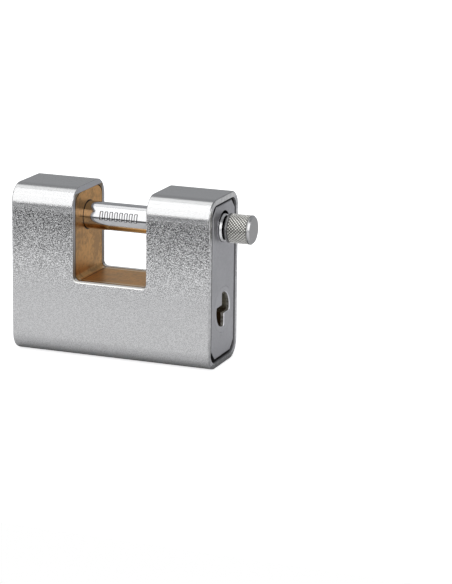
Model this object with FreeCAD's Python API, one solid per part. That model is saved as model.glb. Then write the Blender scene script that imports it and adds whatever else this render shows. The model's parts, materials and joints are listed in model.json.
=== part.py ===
import FreeCAD, Part
import math
import os

# Armoured rectangular padlock with a straight sliding bolt, in millimetres.
# +X runs along the bolt towards its knob and the key end, -Y is the front, +Z is up.
# The origin is the centre of the flat base that the padlock stands on.

Vector = FreeCAD.Vector
ALONG_X = Vector(1, 0, 0)
ALONG_Z = Vector(0, 0, 1)
CUT_BEYOND = 1.0

# Armour sheath: one bent and welded steel tube, open at both ends
SHEATH_LENGTH = 70.0
SHEATH_DEPTH = 25.8
SHEATH_HEIGHT = 56.5
SHEATH_WALL = 2.0
SHEATH_CORNER_RADIUS = 6.0
SHEATH_RIM_ROUND = 0.45
SHEATH_CUT_ROUND = 0.3

# Notch that takes the hasp or the chain, set in from the key end by the leg that holds the works
KEY_LEG_WIDTH = 22.05
NOTCH_WIDTH = 25.9
NOTCH_FLOOR_HEIGHT = 25.8
NOTCH_CORNER_RADIUS = 1.7

# Brass body inside the sheath
BODY_CLEARANCE = 0.05
BODY_CORNER_RADIUS = 4.9

# Hardened plates that close both ends of the sheath
PLATE_THICKNESS = 2.4
PLATE_RECESS = 0.05
PLATE_TOP_GAP = 0.6
PLATE_BOTTOM_GAP = 1.1
PLATE_SIDE_GAP = 1.1
PLATE_CORNER_CHAMFER = 3.0
PLATE_EDGE_ROUND = 0.5
PLATE_BOLT_HOLE_DIAMETER = 10.4
PLATE_BOLT_HOLE_RISE = 0.45

# Dowels that pin each plate to the body: one low, one midway between plug and bolt
DOWEL_DIAMETER = 3.0
DOWEL_DEPTH_IN_PLATE = 1.5
DOWEL_DEPTH_IN_BODY = 6.5
DOWEL_SIDE_OFFSET = 6.5
DOWEL_LOW_HEIGHT = 5.6

# Locking bolt: shank, groove and knob turned in one piece
BOLT_DIAMETER = 9.3
BOLT_AXIS_BELOW_TOP = 10.65
BOLT_BORE_CLEARANCE = 0.15
BOLT_GRIP_IN_FAR_LEG = 7.6
BOLT_TIP_CHAMFER = 1.0
BOLT_TIP_ROOM = 1.0
BOLT_SHOWN_BEFORE_GROOVE = 0.75
BOLT_BEVEL_LENGTH = 0.7
BOLT_BEVEL_DEPTH = 0.3
KNOB_GROOVE_WIDTH = 0.5
KNOB_GROOVE_DEPTH = 1.3
KNOB_LENGTH = 8.95
KNOB_DIAMETER = 9.6
KNOB_INNER_CHAMFER = 0.7
KNOB_PLAIN_COLLAR = 0.6
KNURL_DEPTH = 0.35
KNURL_END_MARGIN = 0.35
KNOB_OUTER_CHAMFER = 0.55

# Pin that stops the bolt at both ends of a flat on its back
STOP_PIN_DIAMETER = 2.5
STOP_PIN_SET_BACK = 5.2
STOP_PIN_DEPTH_BELOW_AXIS = 7.5
STOP_PIN_CLEARANCE = 0.05
BOLT_FLAT_DEPTH = 1.3

# Key plug, turned by the key about an axis along X
PLUG_AXIS_HEIGHT = 18.5
PLUG_RADIUS = 7.5
PLUG_CLEARANCE = 0.05
PLUG_NOSE_RADIUS = 6.6
AXIAL_PLAY = 0.05

# Hard steel face disc: a cup over the nose of the plug, held by its flange behind the plate
FACE_DISC_RADIUS = 7.6
FACE_DISC_WALL = 1.2
FACE_DISC_FLANGE_RADIUS = 8.6
FACE_DISC_FLANGE_THICKNESS = 1.0

# Z opening in the disc and the nose: a high lobe at the back and a low lobe at the front in one circle
OPENING_RADIUS = 5.8
OPENING_LOBE_OVERLAP = 0.95
OPENING_LOBE_DROP = 1.5
OPENING_CORNER_RADIUS = 0.8
OPENING_CHAMFER = 0.25
NOSE_OPENING_STEP = 0.2

# Keyway behind the nose: two tall slots side by side, one high and one low, joined in the middle
KEYWAY_HEIGHT = 10.0
KEYWAY_SLOT_WIDTH = 3.2
KEYWAY_SLOT_OFFSET = 1.35
KEYWAY_SLOT_HEIGHT = 6.2
KEYWAY_CORNER_RADIUS = 1.2

# Drive pins between the face disc and the nose
DRIVE_PIN_DIAMETER = 1.4
DRIVE_PIN_LENGTH = 1.6
DRIVE_PIN_RADIUS_OUT = 4.6

# Wafers: sprung flat tumblers in cross slots of the plug
WAFER_COUNT = 5
WAFER_PITCH = 1.9
WAFER_THICKNESS = 0.9
WAFER_WIDTH = 10.3
WAFER_CLEARANCE = 0.05
WAFER_WINDOW_WIDTH = 6.8
WAFER_WINDOW_TOP = 5.1
WAFER_WINDOW_CORNER = 0.8
WAFER_LUG_REACH = 1.6
WAFER_LUG_HEIGHT = 0.9
WAFER_FIRST_SET_BACK = 1.4
WAFER_LIFTS = (1.9, 1.1, 1.5, 1.3, 1.7)
WAFER_LOW_KEY_EDGE = 5.0
WAFER_LUG_ROOT = 0.5
WAFER_GROOVE_ROOM = 0.3

# Spring wire is drawn with six flats, which keeps the coils light
WIRE_SIDES = 6

# Wafer springs, one under each lug
WAFER_SPRING_DIAMETER = 1.3
WAFER_SPRING_WIRE = 0.25
WAFER_SPRING_LENGTH = 2.2
WAFER_SPRING_TURNS = 4
WAFER_SPRING_ROOM = 0.2

# Snail cam on the tail of the plug, which lifts the pawl evenly over half a turn
CAM_LOW_RADIUS = 4.2
CAM_LIFT = 2.6
CAM_THICKNESS = 4.4
CAM_ROOM = 0.3
CAM_TENON_RADIUS = 2.7
CAM_TENON_FLAT = 2.0
CAM_POINTS = 13

# Screw that holds the cam on its tenon
CAM_SCREW_DIAMETER = 2.5
CAM_SCREW_LENGTH = 5.0
CAM_SCREW_HEAD_DIAMETER = 4.6
CAM_SCREW_HEAD_HEIGHT = 1.0
CAM_SCREW_SLOT_WIDTH = 0.6
CAM_SCREW_SLOT_DEPTH = 0.5

# Locking pawl: a headed pin that rises from the cam into the bolt
PAWL_STEM_DIAMETER = 4.2
PAWL_HEAD_DIAMETER = 6.2
PAWL_HEAD_HEIGHT = 3.0
PAWL_FOOT_RISE = 1.5
PAWL_TIP_CHAMFER = 0.3
PAWL_CLEARANCE = 0.05
PAWL_CAM_CLEARANCE = 0.08
PAWL_BOLT_CLEARANCE = 0.2
PAWL_POCKET_CLEARANCE = 0.15
PAWL_WALL_TO_NOTCH = 1.2
PAWL_WALL_TO_PLUG = 0.3
PAWL_STEP_BELOW_BOLT_BORE = 1.4
PAWL_BORE_PLUG_LENGTH = 5.0

# Spring that pushes the pawl down on the cam
PAWL_SPRING_WIRE = 0.6
PAWL_SPRING_STEM_ROOM = 0.3
PAWL_SPRING_PITCH = 1.9

# Places that follow from the sizes above
sheath_end = SHEATH_LENGTH / 2
sheath_half_depth = SHEATH_DEPTH / 2
inner_half_depth = sheath_half_depth - SHEATH_WALL
inner_top = SHEATH_HEIGHT - SHEATH_WALL
notch_right = sheath_end - KEY_LEG_WIDTH
notch_left = notch_right - NOTCH_WIDTH
plate_outer = sheath_end - PLATE_RECESS
body_end = plate_outer - PLATE_THICKNESS

bolt_axis = SHEATH_HEIGHT - BOLT_AXIS_BELOW_TOP
bolt_radius = BOLT_DIAMETER / 2
bolt_bore_radius = bolt_radius + BOLT_BORE_CLEARANCE
bolt_tip = notch_left - BOLT_GRIP_IN_FAR_LEG
bolt_travel = NOTCH_WIDTH + BOLT_GRIP_IN_FAR_LEG
bolt_floor = bolt_axis - bolt_radius
bolt_bore_floor = bolt_axis - bolt_bore_radius
dowel_high = (PLUG_AXIS_HEIGHT + bolt_axis) / 2
groove_start = sheath_end + BOLT_SHOWN_BEFORE_GROOVE
knob_start = groove_start + KNOB_GROOVE_WIDTH
knob_end = knob_start + KNOB_LENGTH
flat_y = bolt_radius - BOLT_FLAT_DEPTH
stop_pin_x = body_end - STOP_PIN_SET_BACK
stop_pin_y = flat_y + STOP_PIN_CLEARANCE + STOP_PIN_DIAMETER / 2
stop_pin_low = bolt_axis - STOP_PIN_DEPTH_BELOW_AXIS

pawl_bore_radius = PAWL_HEAD_DIAMETER / 2 + PAWL_CLEARANCE
pawl_x = notch_right + PAWL_WALL_TO_NOTCH + pawl_bore_radius
pawl_foot = PLUG_AXIS_HEIGHT + CAM_LOW_RADIUS + PAWL_CAM_CLEARANCE
pawl_tip = bolt_floor - PAWL_BOLT_CLEARANCE
pawl_step = bolt_bore_floor - PAWL_STEP_BELOW_BOLT_BORE
pawl_pocket_radius = PAWL_STEM_DIAMETER / 2 + PAWL_POCKET_CLEARANCE
pawl_pocket_top = pawl_tip + CAM_LIFT + PAWL_POCKET_CLEARANCE

plug_bore_radius = PLUG_RADIUS + PLUG_CLEARANCE
disc_seat = body_end - FACE_DISC_FLANGE_THICKNESS - AXIAL_PLAY
disc_back = plate_outer - FACE_DISC_WALL
nose_front = disc_back - AXIAL_PLAY
plug_front = disc_seat - AXIAL_PLAY
plug_rear = pawl_x + pawl_bore_radius + PAWL_WALL_TO_PLUG
cam_front = plug_rear - AXIAL_PLAY
cam_rear = cam_front - CAM_THICKNESS
chamber_radius = CAM_LOW_RADIUS + CAM_LIFT + CAM_ROOM
chamber_rear = cam_rear - CAM_SCREW_HEAD_HEIGHT - CAM_ROOM
wafer_places = [plug_front - WAFER_FIRST_SET_BACK - k * WAFER_PITCH for k in range(WAFER_COUNT)]
wafer_slot_half = WAFER_THICKNESS / 2 + WAFER_CLEARANCE
wafer_groove_radius = PLUG_RADIUS + max(WAFER_LIFTS) + WAFER_GROOVE_ROOM
wafer_groove_half_width = WAFER_WIDTH / 2 + WAFER_GROOVE_ROOM
spring_pocket_half = WAFER_SPRING_DIAMETER / 2 + WAFER_SPRING_ROOM
spring_floor = -WAFER_LUG_HEIGHT / 2 - WAFER_SPRING_LENGTH


def box(x_from, x_to, y_from, y_to, z_from, z_to):
    corner = Vector(x_from, y_from, z_from)
    return Part.makeBox(x_to - x_from, y_to - y_from, z_to - z_from, corner)


def rod_x(radius, x_from, x_to, y, z):
    return Part.makeCylinder(radius, x_to - x_from, Vector(x_from, y, z), ALONG_X)


def rod_z(radius, z_from, z_to, x, y):
    return Part.makeCylinder(radius, z_to - z_from, Vector(x, y, z_from), ALONG_Z)


def turned_about_x(outline, z):
    """A turned piece: the outline's points are (x, radius), and the axis is along X at height z."""
    points = [Vector(x, 0, z + radius) for x, radius in outline]
    face = Part.Face(Part.makePolygon(points + points[:1]))
    return face.revolve(Vector(0, 0, z), ALONG_X, 360)


def rounded_rectangle(y_from, y_to, z_from, z_to, radius, x):
    """A face in the plane X = x with four equal corner arcs."""
    bend = radius * (1 - math.sqrt(0.5))
    corners = (
        (y_from, z_from, 1, 1), (y_to, z_from, -1, 1), (y_to, z_to, -1, -1), (y_from, z_to, 1, -1),
    )
    arcs = []
    for index, (y, z, to_y, to_z) in enumerate(corners):
        beside = Vector(x, y, z + to_z * radius)
        middle = Vector(x, y + to_y * bend, z + to_z * bend)
        along = Vector(x, y + to_y * radius, z)
        ends = (beside, along) if index % 2 == 0 else (along, beside)
        arcs.append(Part.Arc(ends[0], middle, ends[1]).toShape())
    edges = []
    for index, arc in enumerate(arcs):
        following = arcs[(index + 1) % 4]
        edges.append(arc)
        edges.append(Part.makeLine(arc.lastVertex().Point, following.firstVertex().Point))
    return Part.Face(Part.Wire(edges))


def rounded_bar(x_from, x_to, half_depth, z_from, z_to, radius):
    face = rounded_rectangle(-half_depth, half_depth, z_from, z_to, radius, x_from)
    return face.extrude(Vector(x_to - x_from, 0, 0))


def edges_at_x(shape, x, half_depth, z_from, z_to):
    """Edges that lie in the plane X = x within a rectangle of half_depth and the two heights."""
    found = []
    for edge in shape.Edges:
        limits = edge.BoundBox
        in_plane = abs(limits.XMin - x) < 1e-4 and abs(limits.XMax - x) < 1e-4
        in_depth = limits.YMin > -half_depth and limits.YMax < half_depth
        if in_plane and in_depth and limits.ZMin > z_from and limits.ZMax < z_to:
            found.append(edge)
    return found


def coil(wire, mean_radius, length, turns):
    """A wire wound in tilted half rings, each its outline turned by 180 degrees about a tilted axis."""
    rise = length / (2 * turns)
    across = []
    for index in range(WIRE_SIDES):
        angle = 2 * math.pi * index / WIRE_SIDES
        across.append(Vector(mean_radius + wire / 2 * math.cos(angle), 0, wire / 2 * math.sin(angle)))
    outline = Part.makePolygon(across + across[:1])
    faces = [Part.Face(outline)]
    for index in range(2 * turns):
        side = 1 if index % 2 == 0 else -1
        start = Vector(side * mean_radius, 0, index * rise)
        end = Vector(-side * mean_radius, 0, (index + 1) * rise)
        middle = (start + end) / 2
        axis = (start - end).cross(Vector(0, side, 0))
        faces.extend(outline.revolve(middle, axis, 180).Faces)
        outline = outline.copy()
        outline.rotate(middle, axis, 180)
    faces.append(Part.Face(outline))
    shell = Part.makeShell(faces)
    shell.sewShape()
    return Part.makeSolid(shell)


def notch_block():
    """The hasp notch as a block that cuts through the sheath and the body from front to back."""
    far = sheath_half_depth + CUT_BEYOND
    block = box(notch_left, notch_right, -far, far, NOTCH_FLOOR_HEIGHT, SHEATH_HEIGHT + CUT_BEYOND)
    lower = []
    for edge in block.Edges:
        limits = edge.BoundBox
        if limits.ZMax < NOTCH_FLOOR_HEIGHT + 1e-4 and limits.XLength < 1e-4:
            lower.append(edge)
    return block.makeFillet(NOTCH_CORNER_RADIUS, lower)


def make_armour_sheath():
    outer = rounded_bar(-sheath_end, sheath_end, sheath_half_depth, 0, SHEATH_HEIGHT, SHEATH_CORNER_RADIUS)
    rims = [edge for edge in outer.Edges if edge.BoundBox.XLength < 1e-4]
    outer = outer.makeFillet(SHEATH_RIM_ROUND, rims)
    inner_radius = SHEATH_CORNER_RADIUS - SHEATH_WALL
    inner = rounded_bar(
        -sheath_end, sheath_end, inner_half_depth, SHEATH_WALL, inner_top, inner_radius
    )
    outer = outer.cut(notch_block())
    cut_edges = [edge for edge in outer.Edges if is_notch_mouth(edge)]
    return outer.makeFillet(SHEATH_CUT_ROUND, cut_edges).cut(inner)


def is_notch_mouth(edge):
    """True for an edge along which the notch leaves the outside of the solid tube blank."""
    limits = edge.BoundBox
    at_front_or_back = limits.YLength < 1e-4 and abs(abs(limits.YMin) - sheath_half_depth) < 1e-4
    in_notch = limits.XMin > notch_left - 1e-4 and limits.XMax < notch_right + 1e-4
    on_wall = limits.XLength < 1e-4 and in_notch
    on_floor = at_front_or_back and in_notch and limits.ZMin > NOTCH_FLOOR_HEIGHT - 1e-4
    across_floor = limits.YLength > SHEATH_DEPTH / 2 and limits.ZMax < inner_top
    return (on_wall or on_floor) and not across_floor


def make_lock_body():
    half_depth = inner_half_depth - BODY_CLEARANCE
    low = SHEATH_WALL + BODY_CLEARANCE
    high = inner_top - BODY_CLEARANCE
    body = rounded_bar(-body_end, body_end, half_depth, low, high, BODY_CORNER_RADIUS)
    body = body.cut(notch_block())
    blind_end = bolt_tip - BOLT_TIP_ROOM
    holes = [
        rod_x(bolt_bore_radius, blind_end, body_end, 0, bolt_axis),
        rod_z(STOP_PIN_DIAMETER / 2, stop_pin_low, high, stop_pin_x, stop_pin_y),
        rod_x(FACE_DISC_FLANGE_RADIUS + PLUG_CLEARANCE, disc_seat, body_end, 0, PLUG_AXIS_HEIGHT),
        rod_x(plug_bore_radius, plug_rear, body_end, 0, PLUG_AXIS_HEIGHT),
        rod_x(chamber_radius, chamber_rear, body_end, 0, PLUG_AXIS_HEIGHT),
        rod_z(pawl_bore_radius, low, pawl_step, pawl_x, 0),
        rod_z(PAWL_STEM_DIAMETER / 2 + PAWL_CLEARANCE, low, bolt_axis, pawl_x, 0),
    ]
    groove_rear = wafer_places[-1] - wafer_slot_half - WAFER_GROOVE_ROOM
    groove = rod_x(wafer_groove_radius, groove_rear, body_end, 0, PLUG_AXIS_HEIGHT)
    holes.append(groove.common(box(
        groove_rear, plug_front, -wafer_groove_half_width, wafer_groove_half_width, 0, SHEATH_HEIGHT
    )))
    for sign in (-1, 1):
        holes.extend(dowels(sign))
    return body.cut(holes)


def dowels(sign):
    """The two dowels at one end of the body; sign is +1 at the key end and -1 at the blind end."""
    inner = body_end - DOWEL_DEPTH_IN_BODY
    outer = body_end + DOWEL_DEPTH_IN_PLATE
    x_from, x_to = sorted((sign * inner, sign * outer))
    return [
        rod_x(DOWEL_DIAMETER / 2, x_from, x_to, DOWEL_SIDE_OFFSET, DOWEL_LOW_HEIGHT),
        rod_x(DOWEL_DIAMETER / 2, x_from, x_to, -DOWEL_SIDE_OFFSET, dowel_high),
    ]


def plate_blank(sign):
    """An end plate with cut corners, its outer edge rounded and its dowel holes blind."""
    half_depth = inner_half_depth - PLATE_SIDE_GAP
    low = SHEATH_WALL + PLATE_BOTTOM_GAP
    high = inner_top - PLATE_TOP_GAP
    cut = PLATE_CORNER_CHAMFER
    outline = [
        (-half_depth + cut, low), (half_depth - cut, low), (half_depth, low + cut),
        (half_depth, high - cut), (half_depth - cut, high), (-half_depth + cut, high),
        (-half_depth, high - cut), (-half_depth, low + cut),
    ]
    points = [Vector(sign * body_end, y, z) for y, z in outline]
    face = Part.Face(Part.makePolygon(points + points[:1]))
    plate = face.extrude(Vector(sign * PLATE_THICKNESS, 0, 0))
    rim = edges_at_x(plate, sign * plate_outer, sheath_half_depth, 0, SHEATH_HEIGHT)
    plate = plate.makeFillet(PLATE_EDGE_ROUND, rim)
    return plate.cut(dowels(sign))


def make_key_end_plate():
    plate = plate_blank(1)
    hole_height = bolt_axis + PLATE_BOLT_HOLE_RISE
    bolt_hole = rod_x(PLATE_BOLT_HOLE_DIAMETER / 2, body_end, plate_outer, 0, hole_height)
    disc_hole = rod_x(FACE_DISC_RADIUS + PLUG_CLEARANCE, body_end, plate_outer, 0, PLUG_AXIS_HEIGHT)
    return plate.cut([bolt_hole, disc_hole])


def make_locking_bolt():
    knob_radius = KNOB_DIAMETER / 2
    groove_radius = bolt_radius - KNOB_GROOVE_DEPTH
    knurl_radius = knob_radius - KNURL_DEPTH
    knurl_start = knob_start + KNOB_INNER_CHAMFER + KNOB_PLAIN_COLLAR
    knurl_end = knob_end - KNOB_OUTER_CHAMFER - KNURL_END_MARGIN
    outline = [
        (bolt_tip, 0), (bolt_tip, bolt_radius - BOLT_TIP_CHAMFER), (bolt_tip + BOLT_TIP_CHAMFER, bolt_radius),
        (groove_start - BOLT_BEVEL_LENGTH, bolt_radius), (groove_start, bolt_radius - BOLT_BEVEL_DEPTH),
        (groove_start, groove_radius), (knob_start, groove_radius),
        (knob_start, knob_radius - KNOB_INNER_CHAMFER), (knob_start + KNOB_INNER_CHAMFER, knob_radius),
        (knurl_start, knob_radius), (knurl_start, knurl_radius), (knurl_end, knurl_radius),
        (knurl_end, knob_radius), (knob_end - KNOB_OUTER_CHAMFER, knob_radius),
        (knob_end, knob_radius - KNOB_OUTER_CHAMFER), (knob_end, 0),
    ]
    bolt = turned_about_x(outline, bolt_axis)
    stop_reach = STOP_PIN_DIAMETER / 2 + STOP_PIN_CLEARANCE
    flat = box(
        stop_pin_x - bolt_travel - stop_reach, stop_pin_x + stop_reach,
        flat_y, bolt_radius + CUT_BEYOND, bolt_floor, bolt_axis + bolt_radius,
    )
    home_pocket = rod_z(pawl_pocket_radius, bolt_floor, pawl_pocket_top, pawl_x, 0)
    open_pocket = rod_z(pawl_pocket_radius, bolt_floor, pawl_pocket_top, pawl_x - bolt_travel, 0)
    return bolt.cut([flat, home_pocket, open_pocket])


def make_bolt_stop_pin():
    return rod_z(STOP_PIN_DIAMETER / 2, stop_pin_low, inner_top - BODY_CLEARANCE, stop_pin_x, stop_pin_y)


def with_half_turn(shape):
    """The shape together with its copy turned by half a turn about the plug's axis."""
    turned = shape.copy()
    turned.rotate(Vector(0, 0, PLUG_AXIS_HEIGHT), ALONG_X, 180)
    return shape.fuse(turned).removeSplitter()


def keyway_cutter(x_from, x_to):
    """Two slots through the plug: a high one towards the back and a low one towards the front."""
    top = PLUG_AXIS_HEIGHT + KEYWAY_HEIGHT / 2
    high_slot = rounded_rectangle(
        KEYWAY_SLOT_OFFSET - KEYWAY_SLOT_WIDTH / 2, KEYWAY_SLOT_OFFSET + KEYWAY_SLOT_WIDTH / 2,
        top - KEYWAY_SLOT_HEIGHT, top, KEYWAY_CORNER_RADIUS, x_from,
    )
    return with_half_turn(high_slot.extrude(Vector(x_to - x_from, 0, 0)))


def opening_cutter(step, x_from, x_to):
    """The Z opening with its outline set in by step: two lobes that end on one circle."""
    radius = OPENING_RADIUS - step
    high_lobe = rod_x(radius, x_from, x_to, 0, PLUG_AXIS_HEIGHT).common(box(
        x_from, x_to, step - OPENING_LOBE_OVERLAP, radius,
        PLUG_AXIS_HEIGHT + step - OPENING_LOBE_DROP, PLUG_AXIS_HEIGHT + radius,
    ))
    rim_edges = []
    for edge in high_lobe.Edges:
        middle = edge.CenterOfMass
        if math.hypot(middle.y, middle.z - PLUG_AXIS_HEIGHT) > radius - 1e-4:
            rim_edges.append(edge)
    return with_half_turn(high_lobe.makeFillet(OPENING_CORNER_RADIUS, rim_edges))


def make_plug_face_disc():
    z = PLUG_AXIS_HEIGHT
    flange_front = body_end - AXIAL_PLAY
    flange_rear = flange_front - FACE_DISC_FLANGE_THICKNESS
    recess_radius = PLUG_NOSE_RADIUS + PLUG_CLEARANCE
    outline = [
        (flange_rear, recess_radius), (flange_rear, FACE_DISC_FLANGE_RADIUS),
        (flange_front, FACE_DISC_FLANGE_RADIUS), (flange_front, FACE_DISC_RADIUS),
        (plate_outer, FACE_DISC_RADIUS), (plate_outer, 0), (disc_back, 0), (disc_back, recess_radius),
    ]
    disc = turned_about_x(outline, z)
    disc = disc.cut(opening_cutter(0, disc_back, plate_outer))
    reach = FACE_DISC_RADIUS - OPENING_CHAMFER
    mouth = edges_at_x(disc, plate_outer, reach, z - reach, z + reach)
    disc = disc.makeChamfer(OPENING_CHAMFER, mouth)
    return disc.cut(drive_pins())


def drive_pins():
    """Two short pins across the joint of disc and nose, in the quarters that the Z opening leaves whole."""
    rear = nose_front - DRIVE_PIN_LENGTH / 2
    pins = []
    for sign in (-1, 1):
        angle = math.radians(45)
        y = sign * DRIVE_PIN_RADIUS_OUT * math.cos(angle)
        z = PLUG_AXIS_HEIGHT - sign * DRIVE_PIN_RADIUS_OUT * math.sin(angle)
        pins.append(rod_x(DRIVE_PIN_DIAMETER / 2, rear, rear + DRIVE_PIN_LENGTH, y, z))
    return pins


def wafer_pocket(place, side):
    """Room in the plug for one wafer's lug and spring; side is +1 at the back and -1 at the front."""
    inner = WAFER_WIDTH / 2
    y_from, y_to = sorted((side * inner, side * (PLUG_RADIUS + CUT_BEYOND)))
    top = PLUG_AXIS_HEIGHT + WAFER_LUG_HEIGHT / 2 + max(WAFER_LIFTS) + WAFER_CLEARANCE
    bottom = PLUG_AXIS_HEIGHT + spring_floor
    return box(place - spring_pocket_half, place + spring_pocket_half, y_from, y_to, bottom, top)


def make_key_plug():
    z = PLUG_AXIS_HEIGHT
    outline = [
        (cam_rear, 0), (cam_rear, CAM_TENON_RADIUS), (plug_rear, CAM_TENON_RADIUS),
        (plug_rear, PLUG_RADIUS), (plug_front, PLUG_RADIUS), (plug_front, PLUG_NOSE_RADIUS),
        (nose_front, PLUG_NOSE_RADIUS), (nose_front, 0),
    ]
    plug = turned_about_x(outline, z)
    cuts = [
        box(cam_rear, plug_rear, CAM_TENON_FLAT, PLUG_RADIUS, z - PLUG_RADIUS, z + PLUG_RADIUS),
        box(cam_rear, plug_rear, -PLUG_RADIUS, -CAM_TENON_FLAT, z - PLUG_RADIUS, z + PLUG_RADIUS),
        rod_x(CAM_SCREW_DIAMETER / 2, cam_rear, cam_rear + CAM_SCREW_LENGTH, 0, z),
    ]
    keyway_rear = wafer_places[-1] - wafer_slot_half
    cuts.append(keyway_cutter(keyway_rear, nose_front))
    cuts.append(opening_cutter(NOSE_OPENING_STEP, plug_front, nose_front))
    half_width = WAFER_WIDTH / 2 + WAFER_CLEARANCE
    for index, place in enumerate(wafer_places):
        cuts.append(box(
            place - wafer_slot_half, place + wafer_slot_half, -half_width, half_width,
            z - PLUG_RADIUS, z + PLUG_RADIUS,
        ))
        cuts.append(wafer_pocket(place, lug_side(index)))
    return plug.cut(cuts).cut(drive_pins())


def lug_side(index):
    return 1 if index % 2 == 0 else -1


def make_wafer(index):
    """A flat wafer at the shear line, as the right key holds it, with its window for the key."""
    z = PLUG_AXIS_HEIGHT
    rear = wafer_places[index] - WAFER_THICKNESS / 2
    front = rear + WAFER_THICKNESS
    half_width = WAFER_WIDTH / 2
    disc = rod_x(PLUG_RADIUS - WAFER_CLEARANCE, rear, front, 0, z)
    wafer = disc.common(box(rear, front, -half_width, half_width, z - PLUG_RADIUS, z + PLUG_RADIUS))
    key_edge = z - WAFER_LOW_KEY_EDGE + max(WAFER_LIFTS) - WAFER_LIFTS[index]
    window = rounded_rectangle(
        -WAFER_WINDOW_WIDTH / 2, WAFER_WINDOW_WIDTH / 2, key_edge, z + WAFER_WINDOW_TOP,
        WAFER_WINDOW_CORNER, rear,
    )
    wafer = wafer.cut(window.extrude(Vector(WAFER_THICKNESS, 0, 0)))
    side = lug_side(index)
    y_from, y_to = sorted((side * (half_width - WAFER_LUG_ROOT), side * (half_width + WAFER_LUG_REACH)))
    lug = box(rear, front, y_from, y_to, z - WAFER_LUG_HEIGHT / 2, z + WAFER_LUG_HEIGHT / 2)
    return wafer.fuse(lug).removeSplitter()


def make_wafer_spring(index):
    mean_radius = (WAFER_SPRING_DIAMETER - WAFER_SPRING_WIRE) / 2
    active = WAFER_SPRING_LENGTH - WAFER_SPRING_WIRE - 2 * WAFER_CLEARANCE
    spring = coil(WAFER_SPRING_WIRE, mean_radius, active, WAFER_SPRING_TURNS)
    y = lug_side(index) * (WAFER_WIDTH / 2 + WAFER_LUG_REACH / 2 + WAFER_SPRING_ROOM / 2)
    z = PLUG_AXIS_HEIGHT + spring_floor + WAFER_SPRING_WIRE / 2 + WAFER_CLEARANCE
    spring.translate(Vector(wafer_places[index], y, z))
    return spring


def cam_radius(turn):
    """Radius of the cam that stands under the pawl once the plug has turned by this angle."""
    if turn <= math.pi:
        return CAM_LOW_RADIUS + CAM_LIFT * turn / math.pi
    fall = (turn - math.pi) / math.pi
    return CAM_LOW_RADIUS + CAM_LIFT * (1 + math.cos(math.pi * fall)) / 2


def make_snail_cam():
    z = PLUG_AXIS_HEIGHT

    def place(turn):
        # a positive turn of the plug brings the flank at the back, +Y, up under the pawl
        radius = cam_radius(turn)
        return Vector(cam_rear, radius * math.sin(turn), z + radius * math.cos(turn))

    rise = Part.BSplineCurve()
    rise.interpolate([place(math.pi * k / (CAM_POINTS - 1)) for k in range(CAM_POINTS)])
    fall = Part.BSplineCurve()
    fall.interpolate([place(math.pi * (1 + k / (CAM_POINTS - 1))) for k in range(CAM_POINTS)])
    face = Part.Face(Part.Wire([rise.toShape(), fall.toShape()]))
    cam = face.extrude(Vector(CAM_THICKNESS, 0, 0))
    bore = rod_x(CAM_TENON_RADIUS, cam_rear, cam_front, 0, z)
    flats = box(cam_rear, cam_front, -CAM_TENON_FLAT, CAM_TENON_FLAT, z - PLUG_RADIUS, z + PLUG_RADIUS)
    return cam.cut(bore.common(flats))


def make_cam_screw():
    z = PLUG_AXIS_HEIGHT
    head_outer = cam_rear - CAM_SCREW_HEAD_HEIGHT
    head_radius = CAM_SCREW_HEAD_DIAMETER / 2
    outline = [
        (head_outer, 0), (head_outer, head_radius), (cam_rear, head_radius),
        (cam_rear, CAM_SCREW_DIAMETER / 2), (cam_rear + CAM_SCREW_LENGTH, CAM_SCREW_DIAMETER / 2),
        (cam_rear + CAM_SCREW_LENGTH, 0),
    ]
    slot = box(
        head_outer, head_outer + CAM_SCREW_SLOT_DEPTH, -head_radius, head_radius,
        z - CAM_SCREW_SLOT_WIDTH / 2, z + CAM_SCREW_SLOT_WIDTH / 2,
    )
    return turned_about_x(outline, z).cut(slot)


def make_locking_pawl():
    """The pawl down on the low side of the cam; its domed foot touches the cam on the pawl's axis."""
    head_radius = PAWL_HEAD_DIAMETER / 2
    stem_radius = PAWL_STEM_DIAMETER / 2
    dome_top = pawl_foot + PAWL_FOOT_RISE
    head_top = pawl_foot + PAWL_HEAD_HEIGHT
    foot = Vector(pawl_x, 0, pawl_foot)
    edge = Vector(pawl_x + head_radius, 0, dome_top)
    dome_radius = (head_radius ** 2 + PAWL_FOOT_RISE ** 2) / (2 * PAWL_FOOT_RISE)
    half_angle = math.asin(head_radius / dome_radius) / 2
    middle = Vector(
        pawl_x + dome_radius * math.sin(half_angle), 0,
        pawl_foot + dome_radius * (1 - math.cos(half_angle)),
    )
    corners = [
        edge, Vector(pawl_x + head_radius, 0, head_top), Vector(pawl_x + stem_radius, 0, head_top),
        Vector(pawl_x + stem_radius, 0, pawl_tip - PAWL_TIP_CHAMFER),
        Vector(pawl_x + stem_radius - PAWL_TIP_CHAMFER, 0, pawl_tip), Vector(pawl_x, 0, pawl_tip), foot,
    ]
    sides = [Part.makeLine(start, end) for start, end in zip(corners, corners[1:])]
    dome = Part.Arc(foot, middle, edge).toShape()
    face = Part.Face(Part.Wire([dome] + sides))
    return face.revolve(foot, ALONG_Z, 360)


def make_pawl_spring():
    head_top = pawl_foot + PAWL_HEAD_HEIGHT
    mean_radius = PAWL_STEM_DIAMETER / 2 + PAWL_SPRING_STEM_ROOM + PAWL_SPRING_WIRE / 2
    active = pawl_step - head_top - PAWL_SPRING_WIRE - 2 * PAWL_CLEARANCE
    turns = max(1, round(active / PAWL_SPRING_PITCH))
    spring = coil(PAWL_SPRING_WIRE, mean_radius, active, turns)
    spring.translate(Vector(pawl_x, 0, head_top + PAWL_SPRING_WIRE / 2 + PAWL_CLEARANCE))
    return spring


def make_pawl_bore_plug():
    low = SHEATH_WALL + BODY_CLEARANCE
    return rod_z(pawl_bore_radius, low, low + PAWL_BORE_PLUG_LENGTH, pawl_x, 0)


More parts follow.
